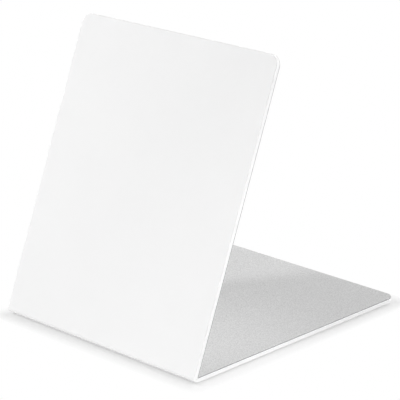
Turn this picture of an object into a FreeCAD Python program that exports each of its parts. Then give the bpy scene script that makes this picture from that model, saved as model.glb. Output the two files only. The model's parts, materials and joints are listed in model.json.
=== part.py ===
import FreeCAD, Part
import collections
import math
import os

import Sketcher

# Desk whiteboard folded from one composite sheet: a lacquered metal skin, a white plastic core and a grey
# metal skin. A V-groove routed through the grey skin and the core lets the sheet fold to a sharp inside
# corner, while the lacquered skin runs unbroken round the outside as writing face, bend and underside.
# The leaning leaf is the panel and the leaf that lies on the desk is the base.
#
# Each layer is drawn as a section across the fold. The section's origin is the corner point, where the flat
# writing face and the flat underside would meet if the bend had no radius. Its first axis points backwards
# and its second axis up. The section is then drawn out to both sides by half the board's width.

# Driving dimensions in millimetres, and the angle in degrees: name, value, meaning
SIZES = (
    ("board_width", "150", "from side to side"),
    ("panel_length", "180", "from the corner point to the top edge, up the slope"),
    ("base_depth", "172", "from the corner point to the rear edge"),
    ("fold_angle", "68.5", "inside angle between panel and base"),
    ("bend_radius", "3", "outside radius of the fold"),
    ("outer_skin_thickness", "0.5", "lacquered skin"),
    ("core_thickness", "2", "plastic core"),
    ("inner_skin_thickness", "0.5", "grey skins on the inside of the fold"),
    ("skin_edge_radius", "0.35", "rounded border of each skin, on its outside"),
    ("glue_thickness", "0.3", "glue line in the closed groove"),
    ("panel_corner_radius", "6.5", "two top corners of the panel"),
    ("base_corner_radius", "6.5", "two rear corners of the base"),
    ("foot_diameter", "10", "anti-slip pad"),
    ("foot_height", "0.8", "anti-slip pad"),
    ("foot_side_inset", "15", "from the pad's centre to the side edge"),
    ("foot_front_inset", "16", "from the pad's centre to the corner point"),
    ("foot_rear_inset", "15", "from the pad's centre to the rear edge"),
    ("tape_thickness", "0.2", "tape disc that holds a pad"),
    ("tape_inset", "0.4", "from the pad's rim to the tape's rim"),
)

doc = FreeCAD.newDocument("desk_whiteboard")
sizes = doc.addObject("Spreadsheet::Sheet", "sizes")
for row, (name, amount, meaning) in enumerate(SIZES, 1):
    sizes.set("A%d" % row, name + ": " + meaning)
    sizes.set("B%d" % row, amount)
    sizes.setAlias("B%d" % row, name)
doc.recompute()

# Depths of the layer boundaries below the outer faces
UNDER_SKIN = "sizes.outer_skin_thickness"
UNDER_CORE = UNDER_SKIN + " + sizes.core_thickness"
UNDER_SHEET = UNDER_CORE + " + sizes.inner_skin_thickness"

# The groove closes along the mitre, which halves the fold, and leaves half the glue line on each side of it
FOLD = "sizes.fold_angle * 1deg"
MITRE = FOLD + " / 2"
HALF_GLUE = "sizes.glue_thickness / 2"

# Height of the underside, and the middle of the part between the foremost point of the bend and the rear edge
UNDERSIDE = "sizes.foot_height + sizes.tape_thickness"
BEND_FRONT = "sizes.bend_radius / tan(%s) - sizes.bend_radius" % MITRE
MIDDLE = "(sizes.base_depth + %s) / 2" % BEND_FRONT

fold = math.radians(sizes.fold_angle)
mitre = fold / 2
mitre_along = FreeCAD.Vector(math.cos(mitre), math.sin(mitre), 0)
corner_point = FreeCAD.Vector(0, 0, 0)
bend_centre = FreeCAD.Vector(sizes.bend_radius / math.tan(mitre), sizes.bend_radius, 0)

# A leaf of the sheet in the section: the directions along its outer face and into the sheet, its length from
# the corner point, and the radius of the two corners at its free end
Leaf = collections.namedtuple("Leaf", "along inward length corner_radius")
PANEL = Leaf(
    FreeCAD.Vector(math.cos(fold), math.sin(fold), 0),
    FreeCAD.Vector(math.sin(fold), -math.cos(fold), 0),
    "sizes.panel_length",
    "sizes.panel_corner_radius",
)
BASE = Leaf(
    FreeCAD.Vector(1, 0, 0),
    FreeCAD.Vector(0, 1, 0),
    "sizes.base_depth",
    "sizes.base_corner_radius",
)

# Numbers that a sketch gives to its first axis, to the points of an element and to its own origin
AXIS = -1
START, END, CENTRE = range(1, 4)
ORIGIN = (AXIS, START)

# Two places count as one when they differ by less than this share of the board's width
SAME_PLACE_SHARE = 1e-6


def value(expression):
    """Number that an expression on the sheet stands for."""
    return float(sizes.evalExpression(expression))


def new_body(label, plane_role):
    """An empty sub-part with a sketch on one of its own origin planes."""
    body = doc.addObject("PartDesign::Body", label)
    body.Label = label
    sketch = body.newObject("Sketcher::SketchObject", label + "_section")
    plane = next(item for item in body.Origin.OriginFeatures if item.Role == plane_role)
    sketch.AttachmentSupport = [(plane, "")]
    sketch.MapMode = "FlatFace"
    return body, sketch


def line(sketch, start, end, construction=False):
    """Straight element from start to end."""
    return sketch.addGeometry(Part.LineSegment(start, end), construction)


def bend_arc(sketch, start, end):
    """Arc about the bend's centre that runs anticlockwise from start to end."""
    reach = start - bend_centre
    last_reach = end - bend_centre
    circle = Part.Circle(bend_centre, FreeCAD.Vector(0, 0, 1), reach.Length)
    start_turn = math.atan2(reach.y, reach.x)
    end_turn = math.atan2(last_reach.y, last_reach.x)
    return sketch.addGeometry(Part.ArcOfCircle(circle, start_turn, end_turn))


def tie(sketch, kind, *elements):
    """A relation between elements of a sketch."""
    sketch.addConstraint(Sketcher.Constraint(kind, *elements))


def measure(sketch, name, kind, elements, expression):
    """A dimension of a sketch that follows the sheet."""
    drawn = value(expression)
    if kind == "Angle":
        drawn = math.radians(drawn)
    constraint = Sketcher.Constraint(kind, *elements, drawn)
    sketch.renameConstraint(sketch.addConstraint(constraint), name)
    sketch.setExpression("Constraints." + name, expression)


def lay_along(sketch, element, leaf):
    """Turn a line of the section to run along a leaf."""
    if leaf is BASE:
        tie(sketch, "Horizontal", element)
    else:
        measure(sketch, "fold", "Angle", (element,), FOLD)


def face_guide(sketch, leaf):
    """Guide line along a leaf's outer face, from the corner point to the free end."""
    guide = line(sketch, corner_point, leaf.along * value(leaf.length), True)
    tie(sketch, "Coincident", guide, START, *ORIGIN)
    lay_along(sketch, guide, leaf)
    measure(sketch, "length", "Distance", (guide,), leaf.length)
    return guide


def mitre_guide(sketch):
    """Guide line along the mitre, from the corner point to the bend's centre."""
    guide = line(sketch, corner_point, bend_centre, True)
    tie(sketch, "Coincident", guide, START, *ORIGIN)
    measure(sketch, "mitre", "Angle", (guide,), MITRE)
    measure(sketch, "bend", "DistanceY", (*ORIGIN, guide, END), "sizes.bend_radius")
    return guide


def draw_out(body, sketch):
    """Draw a section out to both sides, to the width of the board."""
    pad = body.newObject("PartDesign::Pad", body.Label + "_width")
    pad.Profile = sketch
    pad.SideType = "Symmetric"
    pad.setExpression("Length", "sizes.board_width")
    doc.recompute()


def round_edges(body, is_wanted, radius):
    """Round the edges of a sub-part that pass a test."""
    square = body.Tip
    edges = enumerate(square.Shape.Edges, 1)
    fillet = body.newObject("PartDesign::Fillet", body.Label + "_rounding")
    fillet.Base = (square, ["Edge%d" % number for number, edge in edges if is_wanted(edge)])
    fillet.setExpression("Radius", radius)
    doc.recompute()


def is_same(place, other):
    """Whether two distances from the corner point are one, within a share of the board's width."""
    return abs(place - other) < SAME_PLACE_SHARE * sizes.board_width


def out_of_section(direction):
    """A direction of the section as the drawn-out sub-part has it."""
    return FreeCAD.Vector(0, direction.x, direction.y)


def is_at_depth(point, leaf, depth):
    """Whether a point of a sub-part lies at a depth below a leaf's outer face."""
    return is_same(point.dot(out_of_section(leaf.inward)), value(depth))


def round_corners(body, leaf):
    """Round the two corners at a leaf's free end, through the thickness of the layer."""
    along = out_of_section(leaf.along)
    length = value(leaf.length)

    def is_corner(edge):
        ends = [vertex.Point for vertex in edge.Vertexes]
        at_free_end = all(is_same(point.dot(along), length) for point in ends)
        return at_free_end and is_same(ends[0].x, ends[-1].x)

    round_edges(body, is_corner, leaf.corner_radius)


def round_border(body, is_outside):
    """Round the border of a skin's outside, which has no border at the fold."""
    def is_border(edge):
        at_fold = edge.CenterOfMass.Length < sizes.board_width / 4
        return not at_fold and all(is_outside(vertex.Point) for vertex in edge.Vertexes)

    round_edges(body, is_border, "sizes.skin_edge_radius")


def stand(body, right="0", back="0", up=UNDERSIDE):
    """Place a sub-part: the part's origin is on the desk, below the middle of its box."""
    body.setExpression("Placement.Base.x", right)
    body.setExpression("Placement.Base.y", "%s - %s" % (back, MIDDLE))
    body.setExpression("Placement.Base.z", up)


def make_outer_skin():
    """Lacquered skin: writing face, bend and underside in one folded piece."""
    body, sketch = new_body("outer_skin", "YZ_Plane")
    panel_top = PANEL.along * value(PANEL.length)
    panel_foot = bend_centre - PANEL.inward * sizes.bend_radius
    panel_step = PANEL.inward * value(UNDER_SKIN)
    base_rear = BASE.along * value(BASE.length)
    base_foot = bend_centre - BASE.inward * sizes.bend_radius
    base_step = BASE.inward * value(UNDER_SKIN)

    underside = line(sketch, base_rear, base_foot)
    outer_bend = bend_arc(sketch, panel_foot, base_foot)
    front = line(sketch, panel_foot, panel_top)
    top_end = line(sketch, panel_top, panel_top + panel_step)
    behind_front = line(sketch, panel_top + panel_step, panel_foot + panel_step)
    inner_bend = bend_arc(sketch, panel_foot + panel_step, base_foot + base_step)
    over_underside = line(sketch, base_foot + base_step, base_rear + base_step)
    rear_end = line(sketch, base_rear + base_step, base_rear)

    tie(sketch, "Tangent", underside, END, outer_bend, END)
    tie(sketch, "Tangent", outer_bend, START, front, START)
    tie(sketch, "Coincident", front, END, top_end, START)
    tie(sketch, "Coincident", top_end, END, behind_front, START)
    tie(sketch, "Tangent", behind_front, END, inner_bend, START)
    tie(sketch, "Tangent", inner_bend, END, over_underside, START)
    tie(sketch, "Coincident", over_underside, END, rear_end, START)
    tie(sketch, "Coincident", rear_end, END, underside, START)
    tie(sketch, "Coincident", outer_bend, CENTRE, inner_bend, CENTRE)
    tie(sketch, "PointOnObject", underside, START, AXIS)
    tie(sketch, "PointOnObject", *ORIGIN, front)
    tie(sketch, "Vertical", rear_end)
    tie(sketch, "Perpendicular", front, top_end)
    tie(sketch, "Parallel", front, behind_front)
    tie(sketch, "Parallel", underside, over_underside)
    lay_along(sketch, underside, BASE)
    lay_along(sketch, front, PANEL)
    measure(sketch, "bend", "Radius", (outer_bend,), "sizes.bend_radius")
    measure(sketch, "thickness", "Distance", (rear_end,), UNDER_SKIN)
    measure(sketch, "depth", "DistanceX", (*ORIGIN, underside, START), BASE.length)
    measure(sketch, "length", "Distance", (*ORIGIN, front, END), PANEL.length)

    draw_out(body, sketch)
    round_corners(body, PANEL)
    round_corners(body, BASE)

    def is_outside(point):
        return is_at_depth(point, PANEL, "0") or is_at_depth(point, BASE, "0")

    round_border(body, is_outside)
    stand(body)
    return body


def make_layer(label, leaf, near, far, fills_bend):
    """Flat layer of one leaf between two depths, mitred where the groove closes.

    A layer that lies on the outer skin fills the bend: it follows the inside of the skin round to the mitre.
    The other layers are skins, whose outside is their far face.
    """
    body, sketch = new_body(label, "YZ_Plane")
    face = face_guide(sketch, leaf)
    guide = mitre_guide(sketch)
    free_end_near = leaf.along * value(leaf.length) + leaf.inward * value(near)
    free_end_far = leaf.along * value(leaf.length) + leaf.inward * value(far)

    def groove_side(depth):
        distance = depth / math.tan(mitre) + value(HALF_GLUE) / math.sin(mitre)
        return leaf.along * distance + leaf.inward * depth

    if fills_bend:
        radius = sizes.bend_radius - value(near)
        from_mitre = leaf.along - mitre_along * leaf.along.dot(mitre_along)
        from_mitre.normalize()
        reach = math.sqrt(radius ** 2 - value(HALF_GLUE) ** 2)
        near_start = bend_centre - leaf.inward * radius
        mitre_end = bend_centre + from_mitre * value(HALF_GLUE) - mitre_along * reach
    else:
        near_start = groove_side(value(near))
        mitre_end = near_start

    near_face = line(sketch, near_start, free_end_near)
    free_end = line(sketch, free_end_near, free_end_far)
    far_face = line(sketch, free_end_far, groove_side(value(far)))
    mitre_face = line(sketch, groove_side(value(far)), mitre_end)
    tie(sketch, "Coincident", near_face, END, free_end, START)
    tie(sketch, "Coincident", free_end, END, far_face, START)
    tie(sketch, "Coincident", far_face, END, mitre_face, START)
    tie(sketch, "Parallel", face, near_face)
    tie(sketch, "Parallel", face, far_face)
    tie(sketch, "Parallel", guide, mitre_face)
    tie(sketch, "Perpendicular", face, free_end)
    tie(sketch, "PointOnObject", face, END, free_end)
    measure(sketch, "near", "Distance", (near_face, END, face), near)
    measure(sketch, "far", "Distance", (far_face, START, face), far)
    measure(sketch, "glue", "Distance", (mitre_face, START, guide), HALF_GLUE)

    if fills_bend:
        if leaf is PANEL:
            bend = bend_arc(sketch, near_start, mitre_end)
            face_tip, mitre_tip = START, END
        else:
            bend = bend_arc(sketch, mitre_end, near_start)
            face_tip, mitre_tip = END, START
        tie(sketch, "Tangent", bend, face_tip, near_face, START)
        tie(sketch, "Coincident", bend, mitre_tip, mitre_face, END)
        tie(sketch, "Coincident", bend, CENTRE, guide, END)
    else:
        tie(sketch, "Coincident", mitre_face, END, near_face, START)

    draw_out(body, sketch)
    round_corners(body, leaf)
    if not fills_bend:
        round_border(body, lambda point: is_at_depth(point, leaf, far))
    stand(body)
    return body


def make_fold_glue():
    """Glue line in the closed groove, from the inside corner to the outer skin."""
    body, sketch = new_body("fold_glue", "YZ_Plane")
    face = face_guide(sketch, PANEL)
    guide = mitre_guide(sketch)
    half_glue = value(HALF_GLUE)
    radius = sizes.bend_radius - value(UNDER_SKIN)
    to_panel = FreeCAD.Vector(-mitre_along.y, mitre_along.x, 0) * half_glue
    inside = mitre_along * (value(UNDER_SHEET) / math.sin(mitre) + half_glue / math.tan(mitre))
    outside = bend_centre - mitre_along * math.sqrt(radius ** 2 - half_glue ** 2)

    panel_side = line(sketch, outside + to_panel, inside + to_panel)
    inside_end = line(sketch, inside + to_panel, inside - to_panel)
    base_side = line(sketch, inside - to_panel, outside - to_panel)
    bend = bend_arc(sketch, outside + to_panel, outside - to_panel)
    tie(sketch, "Coincident", panel_side, END, inside_end, START)
    tie(sketch, "Coincident", inside_end, END, base_side, START)
    tie(sketch, "Coincident", base_side, END, bend, END)
    tie(sketch, "Coincident", bend, START, panel_side, START)
    tie(sketch, "Coincident", bend, CENTRE, guide, END)
    tie(sketch, "Parallel", guide, panel_side)
    tie(sketch, "Parallel", guide, base_side)
    tie(sketch, "Perpendicular", guide, inside_end)
    measure(sketch, "panel_half", "Distance", (panel_side, END, guide), HALF_GLUE)
    measure(sketch, "base_half", "Distance", (base_side, START, guide), HALF_GLUE)
    measure(sketch, "inside", "Distance", (panel_side, END, face), UNDER_SHEET)
    measure(sketch, "inner_bend", "Radius", (bend,), "sizes.bend_radius - " + UNDER_SKIN)

    draw_out(body, sketch)
    stand(body)
    return body


def make_disc(label, diameter, thickness, right, back, up):
    """Die-cut disc with its axis upright: an anti-slip pad, or the tape above it."""
    body, sketch = new_body(label, "XY_Plane")
    upright = FreeCAD.Vector(0, 0, 1)
    rim = sketch.addGeometry(Part.Circle(corner_point, upright, value(diameter) / 2))
    tie(sketch, "Coincident", rim, CENTRE, *ORIGIN)
    measure(sketch, "diameter", "Diameter", (rim,), diameter)
    pad = body.newObject("PartDesign::Pad", label + "_thickness")
    pad.Profile = sketch
    pad.setExpression("Length", thickness)
    doc.recompute()
    stand(body, right, back, up)
    return body


sub_parts = [
    make_outer_skin(),
    make_layer("panel_core", PANEL, UNDER_SKIN, UNDER_CORE, True),
    make_layer("base_core", BASE, UNDER_SKIN, UNDER_CORE, True),
    make_layer("panel_back_skin", PANEL, UNDER_CORE, UNDER_SHEET, False),
    make_layer("base_top_skin", BASE, UNDER_CORE, UNDER_SHEET, False),
    make_fold_glue(),
]

# One pad and its tape near each corner of the base
TO_SIDE = "(sizes.board_width / 2 - sizes.foot_side_inset)"
ENDS = (("front", "sizes.foot_front_inset"), ("rear", "sizes.base_depth - sizes.foot_rear_inset"))
SIDES = (("left", "-" + TO_SIDE), ("right", TO_SIDE))
FOOT_DIAMETER = "sizes.foot_diameter"
FOOT_HEIGHT = "sizes.foot_height"
TAPE_DIAMETER = "sizes.foot_diameter - 2 * sizes.tape_inset"
TAPE_THICKNESS = "sizes.tape_thickness"
for end, back in ENDS:
    for side, right in SIDES:
        corner = "_%s_%s" % (end, side)
        sub_parts.append(make_disc("foot" + corner, FOOT_DIAMETER, FOOT_HEIGHT, right, back, "0"))
        sub_parts.append(make_disc("tape" + corner, TAPE_DIAMETER, TAPE_THICKNESS, right, back, FOOT_HEIGHT))

doc.recompute()
for item in doc.Objects:
    if "Invalid" in item.State or "Error" in item.State:
        raise RuntimeError("%s failed: %s" % (item.Label, item.State))
for body in sub_parts:
    if body.Shape.isNull() or not body.Shape.isValid():
        raise RuntimeError(body.Label + " has no valid shape")

os.makedirs("parts", exist_ok=True)
for body in sub_parts:
    body.Shape.exportStep("parts/%s.step" % body.Label)
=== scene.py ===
"""Finishes and a photo stage for a small folded desk whiteboard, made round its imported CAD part."""

import json
import math

import bpy
from bpy.props import FloatProperty, FloatVectorProperty, PointerProperty
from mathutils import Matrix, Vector


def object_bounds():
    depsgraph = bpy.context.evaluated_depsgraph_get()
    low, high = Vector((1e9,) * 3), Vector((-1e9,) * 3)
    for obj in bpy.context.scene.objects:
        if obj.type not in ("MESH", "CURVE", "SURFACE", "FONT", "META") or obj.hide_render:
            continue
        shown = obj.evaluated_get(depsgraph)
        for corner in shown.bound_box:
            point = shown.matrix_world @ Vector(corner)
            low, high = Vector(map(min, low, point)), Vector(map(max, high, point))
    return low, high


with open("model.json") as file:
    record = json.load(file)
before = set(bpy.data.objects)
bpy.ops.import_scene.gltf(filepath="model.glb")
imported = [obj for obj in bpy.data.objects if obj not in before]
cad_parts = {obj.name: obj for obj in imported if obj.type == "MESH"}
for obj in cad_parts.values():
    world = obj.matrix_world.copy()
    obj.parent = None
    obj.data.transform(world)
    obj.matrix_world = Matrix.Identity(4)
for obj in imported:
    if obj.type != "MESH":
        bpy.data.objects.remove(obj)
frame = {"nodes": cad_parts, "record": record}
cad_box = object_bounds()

bl_info = {
    "name": "Mini whiteboard",
    "version": (1, 0, 0),
    "blender": (4, 5, 0),
    "location": "View3D > Sidebar > Whiteboard",
    "description": "Finishes and a photo stage for a small folded desk whiteboard",
    "category": "Object",
}

MM = 0.001
FEET = [n for n in sorted(frame["nodes"]) if n.startswith("foot_")]
TAPES = [n for n in sorted(frame["nodes"]) if n.startswith("tape_")]
FACE = next(m for m in frame["record"]["mounts"] if m["name"] == "writing_face")

# The two leaves of the sheet, each with the direction square to it
PANEL_NORMAL = Vector(FACE["axis"])
BASE_NORMAL = Vector((0, 0, 1))

# Width of the camera's sensor, in millimetres
SENSOR = 36


def linear(code):
    """An sRGB hex code as linear red, green and blue."""
    channels = [int(code[i:i + 2], 16) / 255 for i in (1, 3, 5)]
    return [c / 12.92 if c <= 0.04045 else ((c + 0.055) / 1.055) ** 2.4 for c in channels]


def colour(name, description, code):
    """A colour property that starts at an sRGB hex code."""
    return FloatVectorProperty(
        name=name, description=description, default=linear(code), size=3, min=0, max=1, subtype="COLOR"
    )


def length(name, description, millimetres):
    """A length property that starts at a size in millimetres."""
    return FloatProperty(
        name=name, description=description, default=millimetres * MM, min=0, precision=5, unit="LENGTH"
    )


def share(name, description, default):
    """A property from 0 to 1."""
    return FloatProperty(
        name=name, description=description, default=default, min=0, max=1, subtype="FACTOR"
    )


def angle(name, description, degrees):
    """An angle property that starts at a number of degrees."""
    return FloatProperty(name=name, description=description, default=math.radians(degrees), subtype="ANGLE")


class BoardFinish(bpy.types.PropertyGroup):
    """Colours and surface sizes of the board's pieces"""

    lacquer: colour("Lacquer", "Writing face, bend and underside", "#F5F5F5")
    lacquer_wiped: colour("Wiped lacquer", "Where the wiping cloth has dulled the lacquer", "#F3F3F3")
    lacquer_roughness: share("Lacquer roughness", "How far the gloss of the writing face is spread", 0.22)
    core: colour("Core", "White plastic between the two skins", "#F4F4F4")
    core_cut: colour("Core saw marks", "The hollows that the saw leaves in the core", "#ECECEC")
    coat: colour("Grey coat", "Inner skin: back of the panel and top of the base", "#E5E5E5")
    coat_dark: colour("Grey coat, grain", "The hollows between the grains of the coat", "#C0C0C0")
    # Bare metal of the cut edge, drawn darker than aluminium as painted shade along the edge
    sawn_metal_and_shade: colour("Sawn metal", "Bare cut edge of the inner skin", "#7A7B7C")
    glue: colour("Glue", "Glue line in the fold", "#DCDBD8")
    pad: colour("Pads", "Anti-slip pads", "#3A3A3C")
    pad_worn: colour("Worn pads", "Grit and wear on the pads", "#4A4A4C")
    tape: colour("Tape", "Tape that holds the pads", "#EDEDEB")
    peel_width: length("Lacquer ripple", "Width of one ripple of the roller-coated lacquer", 3.0)
    peel_height: length("Ripple height", "Height of the lacquer's ripples", 0.004)
    wipe_width: length("Wiping marks", "Width of the marks that a cloth leaves", 25.0)
    wipe_change: share("Wiping change", "Share by which the marks raise or lower the roughness", 0.15)
    saw_pitch: length("Saw marks", "Distance between the saw's marks on the cut edges", 1.2)
    saw_depth: length("Saw depth", "Depth of the saw's marks", 0.05)
    coat_grain: length("Coat grain", "Width of one grain of the grey coat", 0.48)
    coat_depth: length("Coat depth", "Depth of the hollows between the grains of the coat", 0.05)
    glue_flow: length("Glue flow", "Width of one wave of the pressed-out glue", 4.0)
    glue_sag: length("Glue sag", "Height of the glue's waves", 0.1)
    pad_grit: length("Pad grit", "Width of one grain of the pads' rubber", 0.5)
    pad_depth: length("Pad depth", "Depth of the pits between the grains of the rubber", 0.08)
    tape_fibre: length("Tape fibre", "Width of one fibre of the tape", 0.3)
    tape_depth: length("Fibre height", "Height of the tape's fibres", 0.03)


class PhotoStage(bpy.types.PropertyGroup):
    """Floor, light and camera"""

    floor: colour("Floor", "White paper that the board stands on", "#F4F4F4")
    floor_side: length("Floor side", "Length of one side of the floor", 8000)
    # Painted light: the seen floor rises from this whiteness next to the board to full white at the shadow's
    # reach, so the shadow's fade is painted.
    floor_glow: share("Floor whitening", "How far the seen floor is lifted to white next to the board", 0.34)
    shadow_reach: length("Shadow reach", "How far out from the board its shadow is seen", 9.0)
    # Painted light: the three settings below make a glow in the gap under the board, standing for light that
    # creeps in under the bend.
    painted_edge_glow: share("Edge whitening", "Further lift of the floor under the board", 0.24)
    edge_start: length("Edge start", "How far in under the board the further lift begins", 1.0)
    edge_full: length("Edge full", "How far in under the board the further lift is full", 5.0)
    sky: share("Sky", "Light from all round, where 1 lights a white card to white", 0.2)
    turn: angle("Camera turn", "Camera's place round the board, from the front to the right", 43.81)
    rise: angle("Camera rise", "Camera's height above the horizon", 18.204)
    reach: length("Camera distance", "From the camera to the point it looks at", 1112.75)
    lens: FloatProperty(name="Lens", description=f"Focal length on a {SENSOR} mm wide sensor",
                        default=177.81, min=1, unit="CAMERA")


def add(tree, kind, sockets=None, **settings):
    """Adds a node with its settings. Each socket takes a plain value or another node's output."""
    made = tree.nodes.new(kind)
    for name, value in settings.items():
        setattr(made, name, value)
    for key, value in (sockets or {}).items():
        if isinstance(value, bpy.types.NodeSocket):
            tree.links.new(value, made.inputs[key])
        else:
            made.inputs[key].default_value = value
    return made


def opaque(rgb):
    """A colour property as the four numbers a socket takes."""
    return [*rgb, 1.0]


def new_material(name):
    """An empty node material and its tree."""
    made = bpy.data.materials.new(name)
    made.use_nodes = True
    made.node_tree.nodes.clear()
    return made, made.node_tree


def dress(names, material):
    """Gives CAD nodes their material."""
    for name in names:
        slots = frame["nodes"][name].data.materials
        slots.clear()
        slots.append(material)


def lean_of(normal):
    """Turn about X that lays a leaf of the sheet flat, so that its thickness runs along Z."""
    return math.atan2(normal.y, normal.z)


def lacquered_aluminium(finish):
    """Coil-coated aluminium: roller-laid dry-erase lacquer, with a soft even gloss."""
    made, tree = new_material("lacquered_aluminium_coil_coated")
    place = add(tree, "ShaderNodeTexCoord").outputs["Object"]
    # Rollers leave a ripple too low to see; it only keeps reflections from being perfect.
    peel = add(tree, "ShaderNodeTexNoise", {"Vector": place, "Scale": 1 / finish.peel_width, "Detail": 1.0})
    ripple = add(tree, "ShaderNodeBump", {
        "Height": peel.outputs["Fac"], "Strength": 0.25, "Distance": finish.peel_height,
    })
    # A wiping cloth leaves wide, faint marks in the gloss.
    wipe = add(tree, "ShaderNodeTexNoise", {"Vector": place, "Scale": 1 / finish.wipe_width, "Detail": 3.0})
    gloss = add(tree, "ShaderNodeMapRange", {
        "Value": wipe.outputs["Fac"],
        "To Min": finish.lacquer_roughness * (1 - finish.wipe_change),
        "To Max": finish.lacquer_roughness * (1 + finish.wipe_change),
    })
    tone = add(tree, "ShaderNodeMix", {
        "Factor": wipe.outputs["Fac"], 6: opaque(finish.lacquer), 7: opaque(finish.lacquer_wiped),
    }, data_type="RGBA")
    skin = add(tree, "ShaderNodeBsdfPrincipled", {
        "Base Color": tone.outputs[2], "Roughness": gloss.outputs["Result"],
        "IOR": 1.5, "Normal": ripple.outputs["Normal"],
    })
    add(tree, "ShaderNodeOutputMaterial", {"Surface": skin.outputs["BSDF"]})
    return made


def sawn_polyethylene(finish, leaf, normal):
    """White polyethylene, sawn: a soft waxy white with fine marks across the edge."""
    made, tree = new_material("polyethylene_sawn_" + leaf)
    place = add(tree, "ShaderNodeTexCoord").outputs["Object"]
    # The saw's marks run through the sheet's thickness, so the pattern is drawn out tenfold that way.
    # Real marks are about 0.4 mm apart; they are drawn wider to show at all.
    along = add(tree, "ShaderNodeMapping", {
        "Vector": place, "Rotation": (lean_of(normal), 0, 0), "Scale": (1, 1, 0.1),
    })
    marks = add(tree, "ShaderNodeTexNoise", {
        "Vector": along.outputs["Vector"], "Scale": 1 / finish.saw_pitch, "Detail": 2.0,
    })
    tone = add(tree, "ShaderNodeMix", {
        "Factor": marks.outputs["Fac"], 6: opaque(finish.core_cut), 7: opaque(finish.core),
    }, data_type="RGBA")
    groove = add(tree, "ShaderNodeBump", {
        "Height": marks.outputs["Fac"], "Strength": 0.4, "Distance": finish.saw_depth,
    })
    plastic = add(tree, "ShaderNodeBsdfPrincipled", {
        "Base Color": tone.outputs[2], "Roughness": 0.45, "IOR": 1.51, "Normal": groove.outputs["Normal"],
    })
    add(tree, "ShaderNodeOutputMaterial", {"Surface": plastic.outputs["BSDF"]})
    return made


def coated_aluminium(finish, leaf, normal):
    """Aluminium with a baked, fine-textured polyester coat: dull light grey with a sandy grain."""
    made, tree = new_material("coated_aluminium_textured_" + leaf)
    point = add(tree, "ShaderNodeTexCoord")
    # Real grains are about 0.2 mm wide; they are drawn wider to show at all.
    grain = add(tree, "ShaderNodeTexNoise", {
        "Vector": point.outputs["Object"], "Scale": 1 / finish.coat_grain, "Detail": 2.0, "Roughness": 0.6,
    })
    # Noise stays near its middle, so its middle third is drawn out to reach both tones.
    speckle = add(tree, "ShaderNodeMapRange", {
        "Value": grain.outputs["Fac"], "From Min": 0.35, "From Max": 0.65,
    })
    tone = add(tree, "ShaderNodeMix", {
        "Factor": speckle.outputs["Result"], 6: opaque(finish.coat_dark), 7: opaque(finish.coat),
    }, data_type="RGBA")
    pits = add(tree, "ShaderNodeBump", {
        "Height": grain.outputs["Fac"], "Strength": 0.3, "Distance": finish.coat_depth,
    })
    # The sawn edge is bare metal: its faces look across the sheet more than out of it.
    # Its metal is drawn darker than bare aluminium, as painted shade along the edge.
    facing = add(tree, "ShaderNodeVectorMath", {
        0: point.outputs["Normal"], 1: normal,
    }, operation="DOT_PRODUCT")
    flat = add(tree, "ShaderNodeMath", {0: facing.outputs["Value"]}, operation="ABSOLUTE")
    cut = add(tree, "ShaderNodeMath", {0: flat.outputs["Value"], 1: 0.7}, operation="LESS_THAN")
    coat = add(tree, "ShaderNodeBsdfPrincipled", {
        "Base Color": tone.outputs[2], "Roughness": 0.6, "IOR": 1.5, "Normal": pits.outputs["Normal"],
    })
    metal = add(tree, "ShaderNodeBsdfPrincipled", {
        "Base Color": opaque(finish.sawn_metal_and_shade), "Metallic": 1.0, "Roughness": 0.5,
    })
    skin = add(tree, "ShaderNodeMixShader", {
        0: cut.outputs["Value"], 1: coat.outputs["BSDF"], 2: metal.outputs["BSDF"],
    })
    add(tree, "ShaderNodeOutputMaterial", {"Surface": skin.outputs["Shader"]})
    return made


def cured_glue(finish):
    """Hot-melt glue, pressed out flat in the groove: milky, with a wet-looking gloss."""
    made, tree = new_material("hot_melt_glue_cured")
    place = add(tree, "ShaderNodeTexCoord").outputs["Object"]
    flow = add(tree, "ShaderNodeTexNoise", {"Vector": place, "Scale": 1 / finish.glue_flow, "Detail": 1.0})
    sag = add(tree, "ShaderNodeBump", {
        "Height": flow.outputs["Fac"], "Strength": 0.5, "Distance": finish.glue_sag,
    })
    bead = add(tree, "ShaderNodeBsdfPrincipled", {
        "Base Color": opaque(finish.glue), "Roughness": 0.3, "IOR": 1.49, "Normal": sag.outputs["Normal"],
    })
    add(tree, "ShaderNodeOutputMaterial", {"Surface": bead.outputs["BSDF"]})
    return made


def die_cut_rubber(finish):
    """Die-cut sheet rubber: charcoal, dull, with a fine grit that picks up dust."""
    made, tree = new_material("sheet_rubber_die_cut")
    place = add(tree, "ShaderNodeTexCoord").outputs["Object"]
    grit = add(tree, "ShaderNodeTexNoise", {"Vector": place, "Scale": 1 / finish.pad_grit, "Detail": 3.0})
    tone = add(tree, "ShaderNodeMix", {
        "Factor": grit.outputs["Fac"], 6: opaque(finish.pad), 7: opaque(finish.pad_worn),
    }, data_type="RGBA")
    pits = add(tree, "ShaderNodeBump", {
        "Height": grit.outputs["Fac"], "Strength": 0.5, "Distance": finish.pad_depth,
    })
    rubber = add(tree, "ShaderNodeBsdfPrincipled", {
        "Base Color": tone.outputs[2], "Roughness": 0.85, "IOR": 1.52, "Normal": pits.outputs["Normal"],
    })
    add(tree, "ShaderNodeOutputMaterial", {"Surface": rubber.outputs["BSDF"]})
    return made


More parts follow.
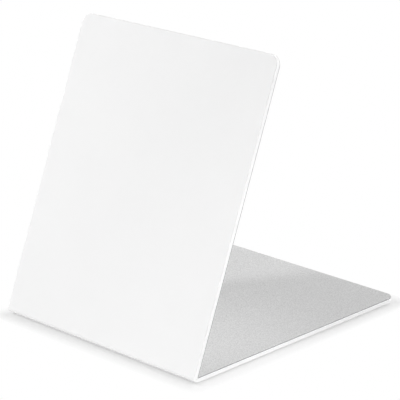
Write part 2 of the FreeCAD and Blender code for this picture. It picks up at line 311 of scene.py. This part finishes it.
def tissue_tape(finish):
    """White tissue tape, die-cut: a matt edge with a papery fibre."""
    made, tree = new_material("tissue_tape_die_cut")
    place = add(tree, "ShaderNodeTexCoord").outputs["Object"]
    fibre = add(tree, "ShaderNodeTexNoise", {"Vector": place, "Scale": 1 / finish.tape_fibre, "Detail": 2.0})
    fuzz = add(tree, "ShaderNodeBump", {
        "Height": fibre.outputs["Fac"], "Strength": 0.4, "Distance": finish.tape_depth,
    })
    paper = add(tree, "ShaderNodeBsdfPrincipled", {
        "Base Color": opaque(finish.tape), "Roughness": 0.8, "IOR": 1.47, "Normal": fuzz.outputs["Normal"],
    })
    add(tree, "ShaderNodeOutputMaterial", {"Surface": paper.outputs["BSDF"]})
    return made


class WHITEBOARD_OT_outer_skin(bpy.types.Operator):
    """Lacquers the folded outer skin"""

    bl_idname = "whiteboard.outer_skin"
    bl_label = "Outer skin"

    def execute(self, context):
        finish = context.scene.board_finish
        dress(["outer_skin"], lacquered_aluminium(finish))
        return {"FINISHED"}


class WHITEBOARD_OT_cores(bpy.types.Operator):
    """Finishes the white plastic cores of the panel and the base"""

    bl_idname = "whiteboard.cores"
    bl_label = "Cores"

    def execute(self, context):
        finish = context.scene.board_finish
        dress(["panel_core"], sawn_polyethylene(finish, "panel", PANEL_NORMAL))
        dress(["base_core"], sawn_polyethylene(finish, "base", BASE_NORMAL))
        return {"FINISHED"}


class WHITEBOARD_OT_grey_skins(bpy.types.Operator):
    """Coats the inner skins grey and bares the metal of their cut edges, drawn dark as painted shade"""

    bl_idname = "whiteboard.grey_skins"
    bl_label = "Grey skins"

    def execute(self, context):
        finish = context.scene.board_finish
        dress(["panel_back_skin"], coated_aluminium(finish, "panel", PANEL_NORMAL))
        dress(["base_top_skin"], coated_aluminium(finish, "base", BASE_NORMAL))
        return {"FINISHED"}


class WHITEBOARD_OT_fold_glue(bpy.types.Operator):
    """Finishes the glue line in the fold"""

    bl_idname = "whiteboard.fold_glue"
    bl_label = "Fold glue"

    def execute(self, context):
        dress(["fold_glue"], cured_glue(context.scene.board_finish))
        return {"FINISHED"}


class WHITEBOARD_OT_pads(bpy.types.Operator):
    """Finishes the four rubber pads"""

    bl_idname = "whiteboard.pads"
    bl_label = "Pads"

    def execute(self, context):
        dress(FEET, die_cut_rubber(context.scene.board_finish))
        return {"FINISHED"}


class WHITEBOARD_OT_tapes(bpy.types.Operator):
    """Finishes the tape discs above the pads"""

    bl_idname = "whiteboard.tapes"
    bl_label = "Tape discs"

    def execute(self, context):
        dress(TAPES, tissue_tape(context.scene.board_finish))
        return {"FINISHED"}


# Half the board's outline on the floor
HALF_OUTLINE = (cad_box[1][0], cad_box[1][1], 0)

# The point that the camera looks at, in millimetres
LOOK_AT = (12.569, -15.955, 73.123)

# A point in the middle of the board, which the soft boxes face
MIDDLE = (0, 0, 60)

# Lamps: name, point it faces, turn from the front to the right, rise, distance, width, and how bright it
# makes a white card at that point. Lengths are in millimetres and angles in degrees.
SOFT_BOXES = [
    ("key", MIDDLE, -41, 44, 1200, 110, 0.265),
    ("front_low", MIDDLE, -12, 4, 1200, 240, 0.31),
    ("front_right", MIDDLE, 62, 12, 1100, 500, 0.2),
    ("left", MIDDLE, -85, 25, 900, 500, 0.16),
    ("right_rear", MIDDLE, 120, 15, 900, 500, 0.37),
    ("rear", MIDDLE, 165, 12, 900, 500, 0.2),
    ("rear_left", MIDDLE, -155, 30, 450, 300, 0.16),
    ("rear_high", MIDDLE, 175, 40, 900, 500, 0.18),
]
# The same for a spot, with the width of its cone as well
FOLD_SPOT = ("fold", (55, -50, 4), 100, 55, 600, 80, 0.24, 16)
# Lamps that give no highlights, as if behind a polariser, so that the lacquer doesn't mirror them
FILLS = ("front_low", "front_right")


def from_angles(turn, rise):
    """Direction from the board to a place at these angles: turn 0 is the front and 90 degrees the right."""
    return Vector((math.sin(turn) * math.cos(rise), -math.cos(turn) * math.cos(rise), math.sin(rise)))


def seen_directly(tree):
    """1 for rays from the camera, a gloss or a clear piece, and 0 for the rays that only carry light."""
    path = add(tree, "ShaderNodeLightPath").outputs
    seen = path["Is Camera Ray"]
    for kind in ("Is Glossy Ray", "Is Transmission Ray"):
        seen = add(tree, "ShaderNodeMath", {0: seen, 1: path[kind]}, operation="MAXIMUM").outputs["Value"]
    return seen


class WHITEBOARD_OT_stage(bpy.types.Operator):
    """Makes the floor, the sky, the lamps and the camera"""

    bl_idname = "whiteboard.stage"
    bl_label = "Stage"

    def execute(self, context):
        stage = context.scene.photo_stage
        self.lay_floor(context, stage)
        self.set_sky(context, stage)
        for lamp in (*SOFT_BOXES, FOLD_SPOT):
            self.hang_lamp(context, *lamp)
        self.place_camera(context, stage)
        context.scene.view_settings.view_transform = "Standard"
        return {"FINISHED"}

    def lay_floor(self, context, stage):
        """White paper, which keeps the contact shadow and runs out into white where it is seen; its shadow's
        fade and a glow under the board are painted light.
        """
        half = stage.floor_side / 2
        corners = [(-half, -half, 0), (half, -half, 0), (half, half, 0), (-half, half, 0)]
        mesh = bpy.data.meshes.new("floor")
        mesh.from_pydata(corners, [], [range(len(corners))])
        floor = bpy.data.objects.new("floor", mesh)
        context.collection.objects.link(floor)
        paper, tree = new_material("white_paper_uncoated")
        card = add(tree, "ShaderNodeBsdfDiffuse", {"Color": opaque(stage.floor)})
        # How far a point of the floor lies outside the board's outline
        place = add(tree, "ShaderNodeTexCoord").outputs["Object"]
        mirrored = add(tree, "ShaderNodeVectorMath", {0: place}, operation="ABSOLUTE")
        offset = add(tree, "ShaderNodeVectorMath", {
            0: mirrored.outputs[0], 1: HALF_OUTLINE,
        }, operation="SUBTRACT").outputs[0]
        outer = add(tree, "ShaderNodeVectorMath", {0: offset, 1: (0, 0, 0)}, operation="MAXIMUM").outputs[0]
        distance = add(tree, "ShaderNodeVectorMath", {0: outer}, operation="LENGTH").outputs["Value"]
        # How far it lies inside the outline, under the board, as a number below zero
        sides = add(tree, "ShaderNodeSeparateXYZ", {0: offset}).outputs
        depth = add(tree, "ShaderNodeMath", {0: sides["X"], 1: sides["Y"]}, operation="MAXIMUM")
        # The seen paper runs out into white away from the board, a painted fade of its shadow, and a little
        # in the gap under it, a painted glow standing for light that creeps in under the bend.
        away = add(tree, "ShaderNodeMapRange", {
            "Value": distance, "From Max": stage.shadow_reach, "To Min": stage.floor_glow,
        })
        under = add(tree, "ShaderNodeMapRange", {
            "Value": depth.outputs["Value"], "From Min": -stage.edge_full, "From Max": -stage.edge_start,
            "To Min": stage.painted_edge_glow, "To Max": 0,
        })
        lift = add(tree, "ShaderNodeMath", {0: away.outputs["Result"], 1: under.outputs["Result"]})
        whiteness = add(tree, "ShaderNodeMath", {
            0: lift.outputs["Value"], 1: seen_directly(tree),
        }, operation="MULTIPLY")
        white = add(tree, "ShaderNodeEmission", {"Strength": 1.0})
        lifted = add(tree, "ShaderNodeMixShader", {
            0: whiteness.outputs["Value"], 1: card.outputs["BSDF"], 2: white.outputs["Emission"],
        })
        add(tree, "ShaderNodeOutputMaterial", {"Surface": lifted.outputs["Shader"]})
        mesh.materials.append(paper)

    def set_sky(self, context, stage):
        """Even light from all round; the sky itself is seen as white."""
        world = bpy.data.worlds.new("studio")
        world.use_nodes = True
        tree = world.node_tree
        tree.nodes.clear()
        light = add(tree, "ShaderNodeBackground", {"Color": (1, 1, 1, 1), "Strength": stage.sky})
        white = add(tree, "ShaderNodeBackground", {"Color": (1, 1, 1, 1), "Strength": 1.0})
        seen = add(tree, "ShaderNodeMixShader", {
            0: seen_directly(tree), 1: light.outputs["Background"], 2: white.outputs["Background"],
        })
        add(tree, "ShaderNodeOutputWorld", {"Surface": seen.outputs["Shader"]})
        context.scene.world = world

    def hang_lamp(self, context, name, faces, turn, rise, reach, width, level, cone=None):
        """A square soft box or a soft spot, which lights a white card at the point it faces to the level."""
        power = level * math.pi ** 2 * (reach * MM) ** 2
        if cone:
            light = bpy.data.lights.new(name, "SPOT")
            light.spot_size = math.radians(cone)
            light.spot_blend = 1.0
            light.shadow_soft_size = width / 2 * MM
            # A spot's power counts as if it went all round, so it takes four times a soft box's.
            light.energy = 4 * power
        else:
            light = bpy.data.lights.new(name, "AREA")
            light.size = width * MM
            light.energy = power
        lamp = bpy.data.objects.new(name, light)
        out = from_angles(math.radians(turn), math.radians(rise))
        lamp.location = (Vector(faces) + out * reach) * MM
        lamp.visible_camera = False
        lamp.visible_glossy = name not in FILLS
        lamp.rotation_euler = out.to_track_quat("Z", "Y").to_euler()
        context.collection.objects.link(lamp)

    def place_camera(self, context, stage):
        """The photograph's viewpoint."""
        data = bpy.data.cameras.new("camera")
        data.sensor_width = SENSOR
        data.lens = stage.lens
        camera = bpy.data.objects.new("camera", data)
        out = from_angles(stage.turn, stage.rise)
        camera.location = Vector(LOOK_AT) * MM + out * stage.reach
        camera.rotation_euler = out.to_track_quat("Z", "Y").to_euler()
        context.collection.objects.link(camera)
        context.scene.camera = camera


OPERATORS = (
    WHITEBOARD_OT_outer_skin,
    WHITEBOARD_OT_cores,
    WHITEBOARD_OT_grey_skins,
    WHITEBOARD_OT_fold_glue,
    WHITEBOARD_OT_pads,
    WHITEBOARD_OT_tapes,
    WHITEBOARD_OT_stage,
)


class WHITEBOARD_PT_board(bpy.types.Panel):
    """Lists the board's operators and settings"""

    bl_idname = "WHITEBOARD_PT_board"
    bl_label = "Mini whiteboard"
    bl_space_type = "VIEW_3D"
    bl_region_type = "UI"
    bl_category = "Whiteboard"

    def draw(self, context):
        for operator in OPERATORS:
            self.layout.operator(operator.bl_idname)
        for settings in (context.scene.board_finish, context.scene.photo_stage):
            box = self.layout.box()
            for name in settings.__annotations__:
                box.prop(settings, name)


CLASSES = (BoardFinish, PhotoStage, *OPERATORS, WHITEBOARD_PT_board)


def register():
    for cls in CLASSES:
        bpy.utils.register_class(cls)
    bpy.types.Scene.board_finish = PointerProperty(type=BoardFinish)
    bpy.types.Scene.photo_stage = PointerProperty(type=PhotoStage)


def unregister():
    del bpy.types.Scene.photo_stage
    del bpy.types.Scene.board_finish
    for cls in reversed(CLASSES):
        bpy.utils.unregister_class(cls)


def main():
    register()
    bpy.ops.whiteboard.outer_skin()
    bpy.ops.whiteboard.cores()
    bpy.ops.whiteboard.grey_skins()
    bpy.ops.whiteboard.fold_glue()
    bpy.ops.whiteboard.pads()
    bpy.ops.whiteboard.tapes()
    bpy.ops.whiteboard.stage()


if __name__ == "__main__":
    main()
